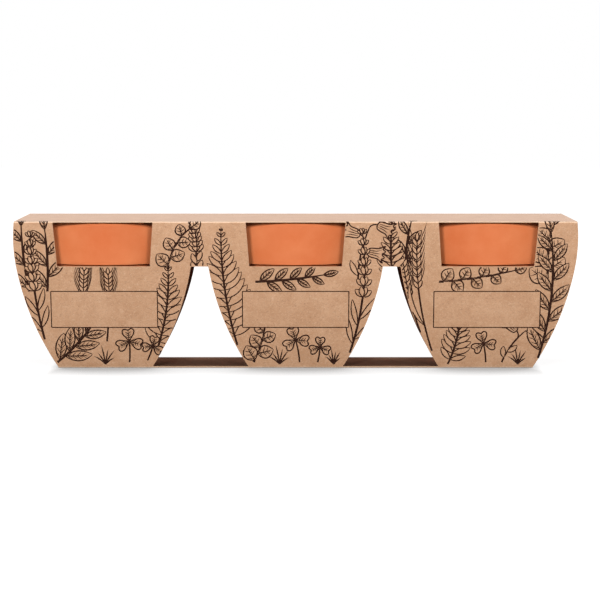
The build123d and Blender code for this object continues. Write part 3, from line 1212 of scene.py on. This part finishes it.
tree.links.new(bump.outputs["Normal"], shader.inputs["Normal"])
shader.inputs["Roughness"].default_value = 0.8
shader.inputs["Specular IOR Level"].default_value = 0.3
print("paper:", sachet_paper.name)

# %% Crimped and filled sachets
sachet_width, sachet_gap, sachet_seal, sachet_fill, sachet_slope = 28.0, 0.6, 3.0, 1.8, 5.0
sachet_z = coir_z + coir_height
sachet_room = inside_radius(pot_floor + coir_height) - sachet_gap
sachet_length = 2 * sqrt(sachet_room**2 - (sachet_width / 2) ** 2)
SEAL_HEIGHT, RIB_HEIGHT, RIB_PITCH, LUMP_HEIGHT, GRID_STEP = 0.4, 0.08, 1.3, 0.12, 0.4
LUMPS_PER_MM = 0.55


def paper_height(point):
    """Height of the upper sheet: a ribbed seal, then a soft rise to the lumpy filling."""
    edge = min(sachet_length / 2 - abs(point.x), sachet_width / 2 - abs(point.y))
    if edge < sachet_seal:
        return SEAL_HEIGHT + RIB_HEIGHT * sin(2 * pi * edge / RIB_PITCH)
    rise = sin(pi / 2 * min(1, (edge - sachet_seal) / sachet_slope))
    return SEAL_HEIGHT + rise * (sachet_fill + LUMP_HEIGHT * noise.noise(point * LUMPS_PER_MM))


def sachet(x):
    """One sachet lying on the disc at x."""
    shape = bmesh.new()
    bmesh.ops.create_grid(shape, x_segments=round(sachet_length / GRID_STEP),
                          y_segments=round(sachet_width / GRID_STEP), size=0.5)
    bmesh.ops.scale(shape, vec=(sachet_length, sachet_width, 1), verts=shape.verts)
    upper = shape.verts[:]
    heights = [paper_height(vert.co + Vector((0, 0, x))) for vert in upper]
    bmesh.ops.extrude_face_region(shape, geom=shape.faces[:])
    for vert, height in zip(upper, heights):
        vert.co.z = height
    bmesh.ops.recalc_face_normals(shape, faces=shape.faces)
    for face in shape.faces:
        face.smooth = True
    bmesh.ops.translate(shape, vec=(x, 0, sachet_z), verts=shape.verts)
    bmesh.ops.scale(shape, vec=(MM, MM, MM), verts=shape.verts)
    mesh = bpy.data.meshes.new("sachet")
    shape.to_mesh(mesh)
    shape.free()
    mesh.set_sharp_from_angle(angle=radians(50))
    mesh.materials.append(sachet_paper)
    return mesh


for name, x in pot_x.items():
    link_piece(f"sachet_{name}", sachet(x), f"{name}_pot", "seed_paper", f"seed_sachet_{name}")

# %% [markdown]
# ## Floor and background
#
# The photograph is a product shot on white, with a thin soft shadow along the foot of the sleeve. A white
# sweep could be lit until it is pure white, but that light would fall on the object as well. So the floor
# and the world are white only to the camera and to reflections, and give the object a plain level of
# light. The floor darkens where the object stands close over it, which is the contact shadow, and stays
# clean behind the gaps and beside the ends, as in the photograph. The light that it throws back is weaker
# near the sleeve than in front of it, so the front darkens a little towards its foot.

# %% Floor
FLOOR_HALF = 3.0
floor_mesh = bpy.data.meshes.new("floor")
ground = bmesh.new()
bmesh.ops.create_grid(ground, x_segments=1, y_segments=1, size=FLOOR_HALF)
ground.to_mesh(floor_mesh)
ground.free()
floor = bpy.data.objects.new("floor", floor_mesh)
bpy.context.scene.collection.objects.link(floor)
print("floor of", 2 * FLOOR_HALF, "m")


# %% What the camera sees, and where on the floor
def seen_share(tree):
    """1 where the camera, a reflection or clear glass looks, and 0 for the light that bounces about."""
    rays = add_node(tree, "ShaderNodeLightPath").outputs
    mirrored = add_node(tree, "ShaderNodeMath", operation="MAXIMUM",
                        links={0: rays["Is Camera Ray"], 1: rays["Is Glossy Ray"]})
    seen = add_node(tree, "ShaderNodeMath", operation="MAXIMUM",
                    links={0: mirrored.outputs["Value"], 1: rays["Is Transmission Ray"]})
    return seen.outputs["Value"]


def within(tree, value, low, high, soft):
    """1 between two places on the floor, in millimetres, and 0 outside, with edges this soft."""
    rise = add_node(tree, "ShaderNodeMapRange", {"From Min": (low - soft) * MM, "From Max": low * MM},
                    {"Value": value})
    fall = add_node(tree, "ShaderNodeMapRange", {"From Min": high * MM, "From Max": (high + soft) * MM,
                                                 "To Min": 1.0, "To Max": 0.0}, {"Value": value})
    both = add_node(tree, "ShaderNodeMath", operation="MULTIPLY",
                    links={0: rise.outputs["Result"], 1: fall.outputs["Result"]})
    return both.outputs["Value"]


GAP_WIDTH, GAP_DEPTH, END_WIDTH = (24, 71, 5), (-20, 400, 7), (123, 150, 11)  # low, high, soft
print("clean floor from", GAP_WIDTH[:2], "mm behind the gaps and", END_WIDTH[:2], "mm beside the ends")

# %% White paper of the floor
BOUNCE_FAR, BOUNCE_NEAR = -140, -30
floor_material, tree, shader, place = new_material("white_paper_sweep")
seen = seen_share(tree)
along = add_node(tree, "ShaderNodeSeparateXYZ", links={"Vector": place}).outputs
# painted shade: the floor's colour for bounced light darkens towards the sleeve, so the front darkens towards
# its foot
painted_foot_shade = add_node(tree, "ShaderNodeMapRange",
                      {"From Min": BOUNCE_FAR * MM, "From Max": BOUNCE_NEAR * MM}, {"Value": along["Y"]})
bounce = add_node(tree, "ShaderNodeMix", {FIRST: linear("#C0C0C0"), SECOND: linear("#484848")},
                  {SHARE: painted_foot_shade.outputs["Result"]}, data_type="RGBA")
sweep = add_node(tree, "ShaderNodeMix", {SECOND: linear("#7A7A7A")},
                 {SHARE: seen, FIRST: bounce.outputs[MIXED]}, data_type="RGBA")
tree.links.new(sweep.outputs[MIXED], shader.inputs["Base Color"])
shader.inputs["Roughness"].default_value = 0.9
shader.inputs["Specular IOR Level"].default_value = 0.0
floor_mesh.materials.append(floor_material)
print("floor finish:", floor_material.name)

# %% White glow and painted contact shadow
SHADOW_REACH, SHADOW_WHITE, CLEAN_WHITE = 45, 0.33, 0.9
# painted white: behind the gaps and beside the ends the glow is kept near full, over the real shadows there
aside = add_node(tree, "ShaderNodeMath", links={0: along["X"]}, operation="ABSOLUTE").outputs["Value"]
behind_gap = add_node(tree, "ShaderNodeMath", operation="MULTIPLY",
                      links={0: within(tree, aside, *GAP_WIDTH), 1: within(tree, along["Y"], *GAP_DEPTH)})
clear = add_node(tree, "ShaderNodeMath", operation="MAXIMUM",
                 links={0: behind_gap.outputs["Value"], 1: within(tree, aside, *END_WIDTH)})
clean = add_node(tree, "ShaderNodeMath", {1: CLEAN_WHITE}, {0: clear.outputs["Value"]}, operation="MULTIPLY")
# painted shadow: the glow is cut down where the object stands close over the floor
near = add_node(tree, "ShaderNodeAmbientOcclusion", {"Distance": SHADOW_REACH * MM}, samples=16)
painted_contact_shadow = add_node(tree, "ShaderNodeMapRange",
                      {"From Min": 0.5, "From Max": 1.0, "To Min": SHADOW_WHITE}, {"Value": near.outputs["AO"]})
glow = add_node(tree, "ShaderNodeMath", operation="MAXIMUM",
                links={0: clean.outputs["Value"], 1: painted_contact_shadow.outputs["Result"]})
shown = add_node(tree, "ShaderNodeMath", links={0: glow.outputs["Value"], 1: seen}, operation="MULTIPLY")
tree.links.new(shown.outputs["Value"], shader.inputs["Emission Strength"])
shader.inputs["Emission Color"].default_value = linear("#FFFFFF")
print("the contact shadow reaches", SHADOW_REACH, "mm")

# %% White world
WORLD_LIGHT = 0.15
world = bpy.data.worlds.new("white_studio")
bpy.context.scene.world = world
world.use_nodes = True
tree = world.node_tree
tree.nodes.clear()
strength = add_node(tree, "ShaderNodeMapRange", {"To Min": WORLD_LIGHT, "To Max": 1.0},
                    {"Value": seen_share(tree)})
background = add_node(tree, "ShaderNodeBackground", {"Color": linear("#FFFFFF")},
                      {"Strength": strength.outputs["Result"]})
add_node(tree, "ShaderNodeOutputWorld", links={"Surface": background.outputs["Background"]})
print("world:", world.name)

# %% [markdown]
# ## Studio light
#
# One broad lamp over the set would light the top and leave the leaning front dark. So two soft boxes
# stand low in front, one on each side of the camera, and the left one is stronger. They light the front
# evenly, and the top edge of each window throws a thin shadow on the collar behind it. A small lamp
# above lights the top, and two wide fills behind keep the back and the ends from going dark in other
# views.

# %% Lamps
def soft_box(name, place, target, size, power):
    """A square lamp that looks at a point: metres and watts."""
    lamp = bpy.data.lights.new(name, "AREA")
    lamp.shape = "SQUARE"
    lamp.size = size
    lamp.energy = power
    box = bpy.data.objects.new(name, lamp)
    bpy.context.scene.collection.objects.link(box)
    box.location = place
    box.rotation_euler = facing(place, target)
    print(name, power, "W")


ROW_MIDDLE = (0, 0, 0.03)
soft_box("top_soft_box", (0.0, -0.43, 1.2), (0, 0, 0), 0.25, 4.6)
for side, name, power in ((-1, "left", 11.5), (1, "right", 7.5)):
    soft_box(f"{name}_soft_box", (side * 0.36, -1.44, 0.49), ROW_MIDDLE, 0.25, power)
    soft_box(f"{name}_back_fill", (side * 1.05, 0.9, 0.55), ROW_MIDDLE, 0.5, 9.5)
